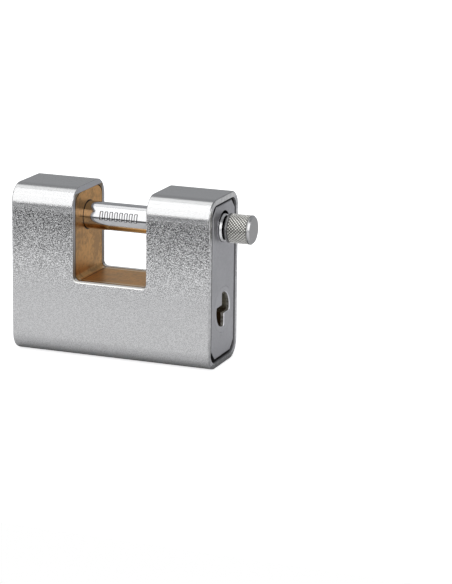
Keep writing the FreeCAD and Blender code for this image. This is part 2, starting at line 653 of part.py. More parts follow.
def group(shapes):
    return Part.makeCompound(shapes)


def main():
    nodes = {
        "armour_sheath": make_armour_sheath(),
        "lock_body": make_lock_body(),
        "key_end_plate": make_key_end_plate(),
        "blind_end_plate": plate_blank(-1),
        "key_plate_dowels": group(dowels(1)),
        "blind_plate_dowels": group(dowels(-1)),
        "locking_bolt": make_locking_bolt(),
        "bolt_stop_pin": make_bolt_stop_pin(),
        "key_plug": make_key_plug(),
        "plug_face_disc": make_plug_face_disc(),
        "plug_drive_pins": group(drive_pins()),
        "snail_cam": make_snail_cam(),
        "cam_screw": make_cam_screw(),
        "locking_pawl": make_locking_pawl(),
        "pawl_spring": make_pawl_spring(),
        "pawl_bore_plug": make_pawl_bore_plug(),
    }
    for index in range(WAFER_COUNT):
        nodes["wafer_%d" % (index + 1)] = make_wafer(index)
        nodes["wafer_spring_%d" % (index + 1)] = make_wafer_spring(index)

    os.makedirs("parts", exist_ok=True)
    for name, shape in nodes.items():
        shape.exportStep("parts/%s.step" % name)
        print(name, len(shape.Solids), shape.isValid(), round(shape.Volume, 2))


main()
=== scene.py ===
"""Looks for an armoured block padlock: its metal finishes, the knurl, raised bars and a plain stage."""

import json
import math

import bpy
import numpy as np
from bpy.props import FloatProperty, FloatVectorProperty, IntProperty, PointerProperty
from mathutils import Matrix, Vector


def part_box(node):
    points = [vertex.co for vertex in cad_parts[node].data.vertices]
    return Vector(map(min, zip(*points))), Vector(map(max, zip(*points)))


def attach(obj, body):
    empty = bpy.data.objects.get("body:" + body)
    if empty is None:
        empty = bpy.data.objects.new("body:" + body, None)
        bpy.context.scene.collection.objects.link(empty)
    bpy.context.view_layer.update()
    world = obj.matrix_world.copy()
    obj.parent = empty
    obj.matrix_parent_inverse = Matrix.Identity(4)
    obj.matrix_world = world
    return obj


bl_info = {
    "name": "Armoured Padlock Looks",
    "version": (1, 0, 0),
    "blender": (4, 5, 0),
    "location": "3D View > Sidebar > Padlock",
    "description": "Dresses the packed padlock with finishes, knurl, bars, lights and a camera",
    "category": "Object",
}

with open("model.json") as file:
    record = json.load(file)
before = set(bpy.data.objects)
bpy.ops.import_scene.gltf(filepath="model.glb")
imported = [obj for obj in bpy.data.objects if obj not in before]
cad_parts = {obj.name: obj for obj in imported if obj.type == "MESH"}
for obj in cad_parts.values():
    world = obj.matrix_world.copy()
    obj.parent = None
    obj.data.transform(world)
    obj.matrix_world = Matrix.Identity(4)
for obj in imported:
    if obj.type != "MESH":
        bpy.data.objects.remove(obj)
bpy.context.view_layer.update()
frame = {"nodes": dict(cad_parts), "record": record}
MM = 0.001

# Places and sizes read from the frame
SHEATH_LOW, SHEATH_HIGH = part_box("armour_sheath")
BODY_LOW, BODY_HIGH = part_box("lock_body")
BOLT_LOW, BOLT_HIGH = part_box("locking_bolt")
DISC_LOW, DISC_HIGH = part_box("plug_face_disc")
PLATE_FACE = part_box("key_end_plate")[1].x
SHEATH_CENTRE = (SHEATH_LOW + SHEATH_HIGH) / 2
BOLT_Z = (BOLT_LOW.z + BOLT_HIGH.z) / 2
PLUG_Z = (DISC_LOW.z + DISC_HIGH.z) / 2
KNOB_RADIUS = BOLT_HIGH.y
SPAN = next(mount["dims"] for mount in frame["record"]["mounts"] if mount["name"] == "hasp_bolt")
SHANK_RADIUS = SPAN["r_mm"] * MM
NOTCH_HALF = SPAN["length_mm"] * MM / 2

# Sizes of the solids that their boxes don't give
NOTCH_FLOOR = 25.8 * MM
NOTCH_CORNER = 1.7 * MM
SHEATH_GAP = 0.05 * MM
KNOB_GAP = 1.25 * MM
KNOB_CHAMFER = 0.55 * MM
INNER_HALF_DEPTH = BODY_HIGH.y + SHEATH_GAP
INNER_HALF_HEIGHT = (BODY_HIGH.z - BODY_LOW.z) / 2 + SHEATH_GAP
KNOB_START = SHEATH_HIGH.x + KNOB_GAP

# How far the added pieces reach into the solid under them
SUNK = 0.02 * MM

# The photograph's frame and the camera that was fitted to the padlock's outline in it
PHOTO_SIZE = (452, 584)
SENSOR = 36.0
FOCAL_PIXELS = 2386.9
CAMERA_AZIMUTH = math.radians(20.90)
CAMERA_ELEVATION = math.radians(14.347)
CAMERA_ROLL = math.radians(0.741)
CAMERA_DISTANCE = 0.78869
CAMERA_ASIDE = (-0.033441, 0.007361)

# The lit table under the padlock ends this far in front of it, and far off on the other sides
TABLE_FRONT = -0.165
TABLE_HALF = 1.5
TABLE_GLOW = 0.17

WHITE = (1, 1, 1)
BLACK = (0, 0, 0)


class LookSizes(bpy.types.PropertyGroup):
    """Sizes of the pieces that are added to the solids."""

    knurl_depth: FloatProperty(
        name="Knurl depth", description="Depth of the knurl from crest to root",
        default=0.32 * MM, unit="LENGTH")
    knurl_end_inset: FloatProperty(
        name="Knurl end inset", description="From the knob's end face back to the knurl",
        default=0.9 * MM, unit="LENGTH")
    knurl_length: FloatProperty(
        name="Knurl length", description="Length of the knurled band",
        default=6.75 * MM, unit="LENGTH")
    knurl_starts: IntProperty(
        name="Knurl starts", description="Grooves round the knob in each direction",
        default=29, min=8)
    bar_count: IntProperty(
        name="Raised bars", description="Plain raised bars in the row on the shank",
        default=8, min=1)
    bar_row_start: FloatProperty(
        name="Row start", description="Where the row of raised bars starts along the bolt",
        default=-7.4 * MM, unit="LENGTH")
    bar_row_length: FloatProperty(
        name="Row length", description="Length of the row of raised bars",
        default=14.0 * MM, unit="LENGTH")
    bar_row_angle: FloatProperty(
        name="Row angle", description="How far the row lies above the front of the shank",
        default=math.radians(13), subtype="ANGLE")
    bar_height: FloatProperty(
        name="Bar height", description="Height of a raised bar round the shank",
        default=3.1 * MM, unit="LENGTH")
    bar_width: FloatProperty(
        name="Bar width", description="Width of a raised bar along the shank",
        default=1.3 * MM, unit="LENGTH")
    bar_relief: FloatProperty(
        name="Bar relief", description="How far a bar stands out of the shank",
        default=0.12 * MM, unit="LENGTH")


class LookColours(bpy.types.PropertyGroup):
    """Base colours of the finishes."""

    nickel: FloatVectorProperty(
        name="Satin nickel", description="Sheath", subtype="COLOR", default=(0.78, 0.78, 0.79))
    plate: FloatVectorProperty(
        name="Plate steel", description="End plates and face disc", subtype="COLOR",
        default=(0.49, 0.49, 0.51))
    brass: FloatVectorProperty(
        name="Body brass", description="Milled brass in the notch", subtype="COLOR",
        default=(0.53, 0.285, 0.095))
    chrome: FloatVectorProperty(
        name="Chrome", description="Shank of the bolt", subtype="COLOR", default=(0.78, 0.78, 0.79))
    knob: FloatVectorProperty(
        name="Knob steel", description="Plain parts of the knob", subtype="COLOR",
        default=(0.42, 0.42, 0.42))
    # The knurl's crests: steel painted near white as a painted highlight
    crest_highlight: FloatVectorProperty(
        name="Knurl crests", description="Knurl on the knob", subtype="COLOR", default=(1.0, 0.99, 0.95))
    pins: FloatVectorProperty(
        name="Pin steel", description="Pins, cam, pawl and springs", subtype="COLOR",
        default=(0.45, 0.45, 0.46))


class Wire:
    """A node's output socket that takes part in sums and products."""

    def __init__(self, nodes, socket):
        self.nodes = nodes
        self.socket = socket

    def _pair(self, operation, first, second):
        return self.nodes.add("ShaderNodeMath", {"operation": operation}, {0: first, 1: second})

    def __add__(self, other):
        return self._pair("ADD", self, other)

    def __radd__(self, other):
        return self._pair("ADD", other, self)

    def __sub__(self, other):
        return self._pair("SUBTRACT", self, other)

    def __rsub__(self, other):
        return self._pair("SUBTRACT", other, self)

    def __mul__(self, other):
        return self._pair("MULTIPLY", self, other)

    def __rmul__(self, other):
        return self._pair("MULTIPLY", other, self)

    def __pow__(self, other):
        return self._pair("POWER", self, other)


class Nodes:
    """A node tree whose nodes are added one by one."""

    def __init__(self, tree):
        self.tree = tree

    def add(self, kind, settings=None, values=None, output=0):
        """A node of this type, with its settings set first and then its sockets' values or links."""
        node = self.tree.nodes.new(kind)
        for name, value in (settings or {}).items():
            setattr(node, name, value)
        for key, value in (values or {}).items():
            self.feed(node.inputs[key], value)
        return Wire(self, node.outputs[output])

    def feed(self, socket, value):
        """Links a wire to the socket, or sets the socket's own value; a colour gets its alpha."""
        if isinstance(value, Wire):
            self.tree.links.new(value.socket, socket)
        elif isinstance(value, (tuple, list)) and socket.type == "RGBA" and len(value) == 3:
            socket.default_value = (*value, 1.0)
        else:
            socket.default_value = value

    def part(self, wire, axis):
        """One coordinate of a vector."""
        return self.add("ShaderNodeSeparateXYZ", {}, {0: wire}, axis)

    def size(self, wire):
        """A number without its sign."""
        return self.add("ShaderNodeMath", {"operation": "ABSOLUTE"}, {0: wire})

    def larger(self, first, second):
        return self.add("ShaderNodeMath", {"operation": "MAXIMUM"}, {0: first, 1: second})

    def remap(self, wire, low, high, to_low=0.0, to_high=1.0):
        """A ramp from to_low, where the wire is at most low, to to_high, where it is at least high."""
        return self.add("ShaderNodeMapRange", {"clamp": True}, {
            "Value": wire, "From Min": low, "From Max": high, "To Min": to_low, "To Max": to_high,
        })

    def below(self, wire, low, high):
        """One where the wire is at most low, and none where it is at least high."""
        return self.remap(wire, low, high, 1.0, 0.0)

    def mix(self, factor, first, second):
        """A colour between first and second."""
        return self.add("ShaderNodeMix", {"data_type": "RGBA"}, {0: factor, 6: first, 7: second}, 2)


class Finish(Nodes):
    """A material whose nodes are added behind its Principled shader."""

    def __init__(self, name):
        self.material = bpy.data.materials.new(name)
        self.material.use_nodes = True
        super().__init__(self.material.node_tree)
        self.shader = self.tree.nodes["Principled BSDF"]

    def place(self, stretch=(1, 1, 1)):
        """Object coordinates, each times its own factor."""
        here = self.add("ShaderNodeTexCoord", output="Object")
        return self.add("ShaderNodeMapping", {"vector_type": "POINT"}, {"Vector": here, "Scale": stretch})

    def off_axis(self, here, height):
        """Distance from the line along X at this height."""
        across = self.part(here, "Y")
        above = self.part(here, "Z") - height
        return (across * across + above * above) ** 0.5

    def from_notch(self, here):
        """Distance out of the notch's outline: past its walls, its floor and the rounds between them."""
        aside = self.larger(self.size(self.part(here, "X")) - (NOTCH_HALF - NOTCH_CORNER), 0.0)
        down = self.larger(NOTCH_FLOOR + NOTCH_CORNER - self.part(here, "Z"), 0.0)
        return (aside * aside + down * down) ** 0.5 - NOTCH_CORNER

    def noise(self, scale, detail=2.0, roughness=0.5, stretch=(1, 1, 1)):
        return self.add("ShaderNodeTexNoise", {}, {
            "Vector": self.place(stretch), "Scale": scale, "Detail": detail, "Roughness": roughness,
        }, "Fac")

    def bump(self, height, distance, strength=0.5):
        return self.add("ShaderNodeBump", {}, {
            "Height": height, "Distance": distance, "Strength": strength,
        })

    def set(self, **values):
        """Feeds the Principled shader's sockets and gives the finished material."""
        for name, value in values.items():
            self.feed(self.shader.inputs[name.replace("_", " ")], value)
        return self.material


def toned(colour, factor):
    """The colour made darker or lighter by a factor, no lighter than white."""
    return tuple(min(1.0, factor * part) for part in colour)


def satin_nickel(colour):
    """Bead-blasted and plated steel. On the flat sides its speckle, partly grain tone and partly painted
    glint and shade, grows stronger towards the top; the rounding over it is smoother, with a painted
    highlight that reaches just below it, and the bottom edge has painted shade. The two end rims are mottled.
    The cut faces in the notch are plain, darker low down, with a painted white highlight along the floor. The
    inner faces are matt, with
    painted shade: brown beside the body and dark grey past its ends; pale at the mouth."""
    finish = Finish("satin_nickel")
    here = finish.place()
    along = finish.size(finish.part(here, "X"))
    across = finish.size(finish.part(here, "Y"))
    high = finish.part(here, "Z")
    grain = finish.noise(2400, detail=1.0, stretch=(1.4, 1, 1))
    speck = finish.noise(3900, detail=0.0)
    broad = finish.noise(60)
    blotch = finish.noise(650, roughness=0.6)

    # Speckle on the flat sides, with its mean taken off, over the plain tone: partly grain tone, partly
    # painted glint and shade that grow stronger towards the top
    plain_tone = 0.61
    mean_speck = 0.39
    top = SHEATH_HIGH.z
    contrast = finish.remap(high, 22 * MM, 47 * MM, 0.17, 1.4) * finish.remap(
        high, top - 8.0 * MM, top - 5.4 * MM, 1.0, 0.05)
    speckle = (finish.remap(speck, 0.445, 0.525) - mean_speck) * contrast
    # Painted highlight: the base colour made lighter on the rounding and in a band just under it
    on_round = finish.remap(high, top - 7.2 * MM, top - 5.0 * MM)
    lit_round = on_round * finish.below(high, top - 1.0 * MM, top - 0.2 * MM)
    highlight_under_round = finish.remap(high, top - 8.8 * MM, top - 7.0 * MM) * (1.0 - on_round)
    lit = plain_tone + speckle + 0.12 * lit_round + 0.5 * highlight_under_round
    shade = finish.mix(lit, toned(colour, 0.1), toned(colour, 1.6))

    # The end rims, mottled, and painted shade along the bottom edge
    on_rim = finish.remap(along, SHEATH_HIGH.x - 0.3 * MM, SHEATH_HIGH.x - 0.1 * MM)
    shade = finish.mix(on_rim * finish.remap(blotch, 0.35, 0.6, 0.6, 0.1), shade, toned(colour, 0.45))
    # Painted shade: darker towards the bottom edge
    shade = finish.mix(finish.remap(high, 0.0, 4.0 * MM, 0.65, 0.0), shade, toned(colour, 0.05))

    # The notch's cut faces, and the narrow edge round them, with a painted white highlight along the floor
    low_cut = (0.26, 0.235, 0.205)
    high_cut = (0.46, 0.47, 0.50)
    lip_highlight = (1.0, 1.0, 0.97)
    out = finish.from_notch(here)
    on_cut = finish.below(out, 0.03 * MM, 0.06 * MM)
    on_edge = finish.below(out, 0.3 * MM, 0.4 * MM)
    on_lip = finish.below(high, NOTCH_FLOOR + 0.2 * MM, NOTCH_FLOOR + 0.9 * MM)
    cut_tone = finish.mix(finish.remap(high, 30 * MM, 46 * MM), low_cut, high_cut)
    shade = finish.mix(on_cut, shade, finish.mix(on_lip, cut_tone, lip_highlight))
    shade = finish.mix(on_edge * on_lip, shade, lip_highlight)

    # The inner faces, with painted shade: brown beside the body and dark grey past its ends; pale at the
    # mouth
    body_gap_shade = (0.20, 0.15, 0.09)
    plate_gap_shade = (0.14, 0.14, 0.14)
    mouth = (0.52, 0.52, 0.54)
    beyond = finish.larger(across - INNER_HALF_DEPTH, finish.size(high - SHEATH_CENTRE.z) - INNER_HALF_HEIGHT)
    outside = finish.remap(beyond, 0.02 * MM, 0.06 * MM)
    past_body = finish.remap(along, BODY_HIGH.x - 0.5 * MM, BODY_HIGH.x)
    at_mouth = finish.remap(along, SHEATH_HIGH.x - 0.9 * MM, SHEATH_HIGH.x - 0.4 * MM)
    end_tone = finish.mix(at_mouth, plate_gap_shade, mouth)
    shade = finish.mix(outside, finish.mix(past_body, body_gap_shade, end_tone), shade)

    return finish.set(
        Base_Color=shade,
        Metallic=(1.0 - (0.5 + 0.5 * on_lip) * on_cut) * (0.3 + 0.7 * outside),
        Roughness=0.17 + 0.06 * broad + 0.2 * on_cut,
        Normal=finish.bump(grain * (1.0 - 0.7 * on_round) * (1.0 - on_edge), 0.045 * MM, strength=1.0),
    )


def plate_steel(colour):
    """Hardened plate with a fine satin ground face, faintly clouded, and painted shade on the walls behind
    the face.
    """
    finish = Finish("plate_steel")
    fine = finish.noise(900, detail=3.0, roughness=0.6, stretch=(1, 1, 0.25))
    cloud = finish.noise(90)
    marks = finish.noise(1500, roughness=0.6)
    light = finish.remap(0.5 * cloud + 0.5 * marks, 0.4, 0.6)
    face_tone = finish.mix(light, toned(colour, 0.91), toned(colour, 1.04))
    # Painted shade on the walls and rounded edges behind the face
    depth = PLATE_FACE - finish.size(finish.part(finish.place(), "X"))
    behind_face = finish.remap(depth, 0.12 * MM, 0.32 * MM)
    return finish.set(
        Base_Color=finish.mix(behind_face, face_tone, toned(colour, 0.12)), Metallic=1.0,
        Roughness=0.42 + 0.08 * fine, Normal=finish.bump(fine, 0.03 * MM),
    )


def disc_steel(colour):
    """The plate's colour on the disc's face, with a painted highlight on the bevels round the opening and
    matt, clouded walls behind them."""
    finish = Finish("disc_steel")
    here = finish.place()
    cloud = finish.noise(1400, detail=3.0, roughness=0.6, stretch=(0.4, 1, 1))
    depth = DISC_HIGH.x - finish.part(here, "X")
    in_opening = finish.below(
        finish.off_axis(here, PLUG_Z), DISC_HIGH.y - 0.4 * MM, DISC_HIGH.y - 0.2 * MM)
    behind_face = finish.remap(depth, 0.01 * MM, 0.03 * MM) * in_opening
    behind_bevel = finish.remap(depth, 0.22 * MM, 0.27 * MM)
    warm = (1.0, 0.95, 0.82)
    wall = tuple(warmth * part for warmth, part in zip(warm, colour))
    wall_tone = finish.mix(finish.remap(cloud, 0.35, 0.65), toned(wall, 0.3), wall)
    # Painted highlight: the bevels round the opening made lighter
    inside = finish.mix(behind_bevel, toned(colour, 1.9), wall_tone)
    return finish.set(
        Base_Color=finish.mix(behind_face, colour, inside), Metallic=1.0 - 0.8 * behind_bevel * in_opening,
        Roughness=0.44, Normal=finish.bump(cloud, 0.02 * MM),
    )


def body_brass(colour):
    """Milled brass, mottled and a little scratched. The notch's floor is painted lighter than its walls, as
    lit and shaded copies, with a painted glint in a line along each side. Painted shade darkens the brass
    beside the sheath, in the folds of the floor, in the bolt's bore and at its edge, and at the two covered
    ends."""
    finish = Finish("body_brass")
    here = finish.place()
    along = finish.size(finish.part(here, "X"))
    to_side = BODY_HIGH.y - finish.size(finish.part(here, "Y"))
    marks = finish.noise(420, detail=3.0, roughness=0.6, stretch=(1, 0.12, 1))
    cloud = finish.noise(120, detail=4.0, roughness=0.6)
    specks = finish.noise(900, roughness=0.6)

    # The mottled walls and floor, the floor painted lighter than the walls, and a painted glint in a line on
    # the floor
    light = finish.remap(0.6 * cloud + 0.4 * specks, 0.42, 0.58)
    wall_tone = finish.mix(light, toned(colour, 0.70), toned(colour, 1.2))
    lit_floor_tone = finish.mix(light, toned(colour, 1.2), toned(colour, 1.65))
    on_floor = finish.below(finish.part(here, "Z"), NOTCH_FLOOR + 0.1 * MM, NOTCH_FLOOR + 0.4 * MM)
    line = on_floor * finish.remap(to_side, 0.9 * MM, 1.2 * MM) * finish.below(to_side, 1.9 * MM, 2.3 * MM)
    glint_tone = (1.0, 0.85, 0.62)
    tone = finish.mix(0.8 * line, finish.mix(on_floor, wall_tone, lit_floor_tone), glint_tone)

    # Painted shade: beside the sheath, at the two covered ends, round the bolt's bore and in the floor's
    # folds
    edge = 0.8 * finish.below(to_side, 0.1 * MM, 0.7 * MM + 0.2 * MM * on_floor)
    covered = finish.remap(along, BODY_HIGH.x - 0.2 * MM, BODY_HIGH.x - 0.1 * MM)
    from_shank = finish.off_axis(here, BOLT_Z) - SHANK_RADIUS
    bore_shade = finish.remap(from_shank, 0.33 * MM, 0.43 * MM, 0.9, 0.0)
    from_fold = finish.size(along - (NOTCH_HALF - NOTCH_CORNER))
    fold_shade = on_floor * finish.remap(from_fold, 0.1 * MM, 0.4 * MM, 0.55, 0.0)
    dark = 1 - (1 - edge) * (1 - covered) * (1 - bore_shade) * (1 - fold_shade)
    return finish.set(
        Base_Color=finish.mix(dark, tone, toned(colour, 0.05)), Metallic=1.0,
        Roughness=0.26 + 0.2 * cloud, Normal=finish.bump(marks, 0.02 * MM),
    )


def plug_brass(colour):
    """Turned brass of the plug and its wafers, grey in the high slot, and with painted shade: darker in the
    low slot and mixed halfway to black all over.
    """
    finish = Finish("plug_brass")
    cloud = finish.noise(700, detail=3.0, roughness=0.6, stretch=(0.3, 1, 1))
    in_high_slot = finish.remap(finish.part(finish.place(), "Z"), PLUG_Z - 1.5 * MM, PLUG_Z)
    high_slot_grey = (0.40, 0.37, 0.29)
    shade_black = (0.02, 0.02, 0.02)
    # Painted shade: the low slot darker, and all of it mixed halfway to black
    tone = finish.mix(in_high_slot, toned(colour, 0.22), high_slot_grey)
    shaded_tone = finish.mix(0.5, tone, shade_black)
    return finish.set(
        Base_Color=finish.mix(finish.remap(cloud, 0.35, 0.65), shaded_tone, tone), Metallic=0.55, Roughness=0.4)


def polished_chrome(shank, knob):
    """Polished chrome on the shank, with a mottled band along its front painted darker as a painted
    reflection; a satin ring before the knob, painted pale as a highlight; satin steel on the plain parts of
    the knob, with a painted highlight on its chamfer above the axis; painted shade, black, in the groove."""
    finish = Finish("polished_chrome")
    here = finish.place()
    along = finish.part(here, "X")
    radius = finish.off_axis(here, BOLT_Z)
    above_axis = finish.part(here, "Z") - BOLT_Z
    haze = finish.noise(420, detail=3.0, roughness=0.55, stretch=(0.6, 1, 1))
    fine = finish.noise(1700)

    on_knob = finish.remap(along, KNOB_START - 0.1 * MM, KNOB_START)
    on_collar = finish.remap(along, SHEATH_HIGH.x - 1.2 * MM, SHEATH_HIGH.x - 0.8 * MM) * (1.0 - on_knob)
    in_groove = finish.below(radius, 3.9 * MM, 4.25 * MM) * finish.remap(
        along, SHEATH_HIGH.x, SHEATH_HIGH.x + 0.1 * MM
    ) * finish.below(along, KNOB_START, KNOB_START + 0.1 * MM)
    chamfer_start = BOLT_HIGH.x - KNOB_CHAMFER
    on_chamfer = finish.remap(along, chamfer_start - 0.02 * MM, chamfer_start + 0.02 * MM) * finish.remap(
        radius, KNOB_RADIUS - KNOB_CHAMFER - 0.04 * MM, KNOB_RADIUS - KNOB_CHAMFER)

    # Painted reflection: a mottled band along the front of the shank, darker
    dark_front_band = finish.remap(above_axis, -2.4 * MM, -2.0 * MM) * finish.below(above_axis, 0.2 * MM, 0.5 * MM)
    dark_front_band = dark_front_band * finish.remap(haze, 0.3, 0.6, 0.5, 1.0)
    # Painted highlight: the pale colour on the ring before the knob
    collar_highlight = (0.97, 0.97, 0.98)
    shade_black = (0.01, 0.01, 0.01)
    shank_tone = finish.mix(on_collar, finish.mix(dark_front_band, shank, toned(shank, 0.68)), collar_highlight)
    # Painted highlight on the knob's chamfer above the axis
    knob_tone = finish.mix(on_chamfer * finish.remap(above_axis, -3.0 * MM, 0.0), knob, toned(knob, 1.7))
    # Painted shade: black in the groove
    tone = finish.mix(in_groove, finish.mix(on_knob, shank_tone, knob_tone), shade_black)
    return finish.set(
        Base_Color=tone, Metallic=1.0,
        Roughness=0.06 + 0.07 * haze + 0.24 * on_knob - 0.12 * on_chamfer + 0.2 * on_collar,
        Normal=finish.bump(haze + on_knob * fine, 0.04 * MM),
    )


def bar_chrome(colour, relief):
    """The shank's chrome on the raised bars, with painted shade where their sides slope down."""
    finish = Finish("bar_chrome")
    rise = finish.off_axis(finish.place(), BOLT_Z) - SHANK_RADIUS
    # Painted shade on the sloping sides of the bars
    on_top = finish.remap(rise, 0.6 * relief, 0.97 * relief)
    return finish.set(
        Base_Color=finish.mix(on_top, toned(colour, 0.05), colour), Metallic=1.0, Roughness=0.12)


def knob_steel(colour):
    """Knurled steel, with a painted highlight on the crests and painted shade down in the grooves."""
    finish = Finish("knob_steel")
    fine = finish.noise(1500, detail=3.0, roughness=0.6)
    radius = finish.off_axis(finish.place(), BOLT_Z)
    # Painted highlight on the crests and painted shade in the grooves
    on_crest = finish.remap(radius, KNOB_RADIUS - 0.24 * MM, KNOB_RADIUS - 0.08 * MM)
    return finish.set(
        Base_Color=finish.mix(on_crest, toned(colour, 0.34), colour), Metallic=1.0,
        Roughness=0.24 + 0.12 * fine, Normal=finish.bump(fine, 0.03 * MM),
    )


def pin_steel(colour, name="pin_steel"):
    """Plain ground steel, faintly clouded."""
    finish = Finish(name)
    fine = finish.noise(700)
    return finish.set(
        Base_Color=finish.mix(fine, toned(colour, 0.8), colour), Metallic=1.0,
        Roughness=0.28 + 0.14 * fine,
    )


def quads(index):
    """The four corners of every face of one or more grids, from the array of their vertex numbers."""
    corners = [index[..., :-1, :-1], index[..., :-1, 1:], index[..., 1:, 1:], index[..., 1:, :-1]]
    return np.stack(corners, axis=-1).reshape(-1, 4)


def add_piece(name, points, faces, material):
    """A new object at the origin, with these points, faces and finish."""
    mesh = bpy.data.meshes.new(name)
    mesh.from_pydata(points.reshape(-1, 3), [], faces)
    mesh.update()
    mesh.materials.append(material)
    piece = bpy.data.objects.new(name, mesh)
    bpy.context.scene.collection.objects.link(piece)
    return piece


def knurl(sizes, material):
    """Diamond knurl: two sets of V grooves wound left and right. The depth at a point is that of the deeper
    groove, each a triangle wave of the angle times the starts, plus or minus the distance along the bolt. The
    wave is cut off below for flat crests and above for flat roots, and the band slopes down to its full depth
    at both ends."""
    steps_per_groove = 12
    crest_level = 0.5
    crest_to_root = 0.42
    slope_pitches = 0.25
    x_end = BOLT_HIGH.x - sizes.knurl_end_inset
    x_start = x_end - sizes.knurl_length
    pitch = 2 * math.pi * KNOB_RADIUS / sizes.knurl_starts
    columns = sizes.knurl_starts * steps_per_groove
    rows = int(round(sizes.knurl_length / pitch * steps_per_groove)) + 1
    angle = np.linspace(0, 2 * math.pi, columns, endpoint=False)[None, :]
    x = np.linspace(x_start, x_end, rows)[:, None]
    turn = angle * sizes.knurl_starts / (2 * math.pi)
    along = (x - x_start) / pitch

    def groove(phase):
        return 1 - 2 * np.abs(phase - np.round(phase))

    depth = np.maximum(groove(turn + along), groove(turn - along))
    depth = np.clip((depth - crest_level) / crest_to_root, 0, 1)
    end_slope = np.clip(np.minimum(x - x_start, x_end - x) / (slope_pitches * pitch), 0, 1)
    radius = KNOB_RADIUS - sizes.knurl_depth * (1 - (1 - depth) * end_slope) - SUNK
    points = np.stack(np.broadcast_arrays(
        x, radius * np.sin(angle), BOLT_Z + radius * np.cos(angle)), axis=-1)
    index = np.arange(rows * columns).reshape(rows, columns)
    closed = np.concatenate([index, index[:, :1]], axis=1)
    return add_piece("knob_knurl", points, quads(closed), material)


def raised_bars(sizes, material):
    """A row of plain raised bars on the front of the shank. Each is a pillow over the cylinder, whose height
    is the relief times a smooth step in from its four edges."""
    points_around = 17
    points_across = 9
    slope_around = 0.2
    slope_across = 0.6
    v, u = np.meshgrid(
        np.linspace(-1, 1, points_around), np.linspace(-1, 1, points_across), indexing="ij")
    edge = np.minimum((1 - np.abs(u)) / slope_across, (1 - np.abs(v)) / slope_around)
    rise = np.clip(edge, 0, 1)
    rise = rise * rise * (3 - 2 * rise)
    step = sizes.bar_row_length / sizes.bar_count
    centre = sizes.bar_row_start + (np.arange(sizes.bar_count) + 0.5) * step
    radius = SHANK_RADIUS - SUNK + (sizes.bar_relief + SUNK) * rise
    angle = sizes.bar_row_angle + v * (sizes.bar_height / 2) / SHANK_RADIUS
    x = centre[:, None, None] + u * sizes.bar_width / 2
    points = np.stack(np.broadcast_arrays(
        x, -radius * np.cos(angle), BOLT_Z + radius * np.sin(angle)), axis=-1)
    index = np.arange(x.size).reshape(x.shape)
    piece = add_piece("shank_bars", points, quads(index), material)
    piece.data.polygons.foreach_set("use_smooth", np.ones(len(piece.data.polygons), dtype=bool))
    return piece


def dress(node, material):
    """Puts the finish on every material slot of a node's object."""
    piece = frame["nodes"][node]
    if not piece.data.materials:
        piece.data.materials.append(material)
    for slot in piece.material_slots:
        slot.material = material


class PADLOCK_OT_sheath(bpy.types.Operator):
    """Give the armour sheath its blasted satin nickel"""

    bl_idname = "padlock.sheath"
    bl_label = "Sheath"

    def execute(self, context):
        dress("armour_sheath", satin_nickel(tuple(context.scene.padlock_colours.nickel)))
        return {"FINISHED"}


class PADLOCK_OT_plates(bpy.types.Operator):
    """Give the end plates and the face disc their satin steel"""

    bl_idname = "padlock.plates"
    bl_label = "End plates and disc"

    def execute(self, context):
        colour = tuple(context.scene.padlock_colours.plate)
        steel = plate_steel(colour)
        for node in ("key_end_plate", "blind_end_plate"):
            dress(node, steel)
        dress("plug_face_disc", disc_steel(colour))
        return {"FINISHED"}


class PADLOCK_OT_body(bpy.types.Operator):
    """Give the body, its pressed plug, the key plug and the wafers their brass"""

    bl_idname = "padlock.body"
    bl_label = "Brass body"

    def execute(self, context):
        colour = tuple(context.scene.padlock_colours.brass)
        milled = body_brass(colour)
        for node in ("lock_body", "pawl_bore_plug"):
            dress(node, milled)
        turned = plug_brass(toned(colour, 0.8))
        dress("key_plug", turned)
        for node in frame["nodes"]:
            if node.startswith("wafer_") and "spring" not in node:
                dress(node, turned)
        return {"FINISHED"}


class PADLOCK_OT_inner(bpy.types.Operator):
    """Give the hidden pins, cam, pawl and springs their steel"""

    bl_idname = "padlock.inner"
    bl_label = "Inner steel"

    def execute(self, context):
        colour = tuple(context.scene.padlock_colours.pins)
        steel = pin_steel(colour)
        spring_steel = pin_steel(toned(colour, 0.8), "spring_steel")
        for node in ("key_plate_dowels", "blind_plate_dowels", "bolt_stop_pin", "plug_drive_pins",
                     "snail_cam", "cam_screw", "locking_pawl"):
            dress(node, steel)
        for node in frame["nodes"]:
            if "spring" in node:
                dress(node, spring_steel)
        return {"FINISHED"}


class PADLOCK_OT_bolt(bpy.types.Operator):
    """Give the bolt its chrome, and add the knurl and the raised bars"""

    bl_idname = "padlock.bolt"
    bl_label = "Bolt and knob"

    def execute(self, context):
        sizes = context.scene.padlock_sizes
        colours = context.scene.padlock_colours
        chrome = tuple(colours.chrome)
        dress("locking_bolt", polished_chrome(chrome, tuple(colours.knob)))
        knurled = knurl(sizes, knob_steel(tuple(colours.crest_highlight)))
        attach(knurled, "bolt")
        bars = raised_bars(sizes, bar_chrome(chrome, sizes.bar_relief))
        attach(bars, "bolt")
        return {"FINISHED"}


def camera_axes():
    """Unit vectors of the camera in the padlock's frame: right, up and back, after its roll."""
    sin_a, cos_a = math.sin(CAMERA_AZIMUTH), math.cos(CAMERA_AZIMUTH)
    sin_e, cos_e = math.sin(CAMERA_ELEVATION), math.cos(CAMERA_ELEVATION)
    back = Vector((sin_a * cos_e, -cos_a * cos_e, sin_e))
    right = Vector((cos_a, sin_a, 0.0))
    up = back.cross(right)
    turned_right = math.cos(CAMERA_ROLL) * right + math.sin(CAMERA_ROLL) * up
    turned_up = -math.sin(CAMERA_ROLL) * right + math.cos(CAMERA_ROLL) * up
    return turned_right, turned_up, back


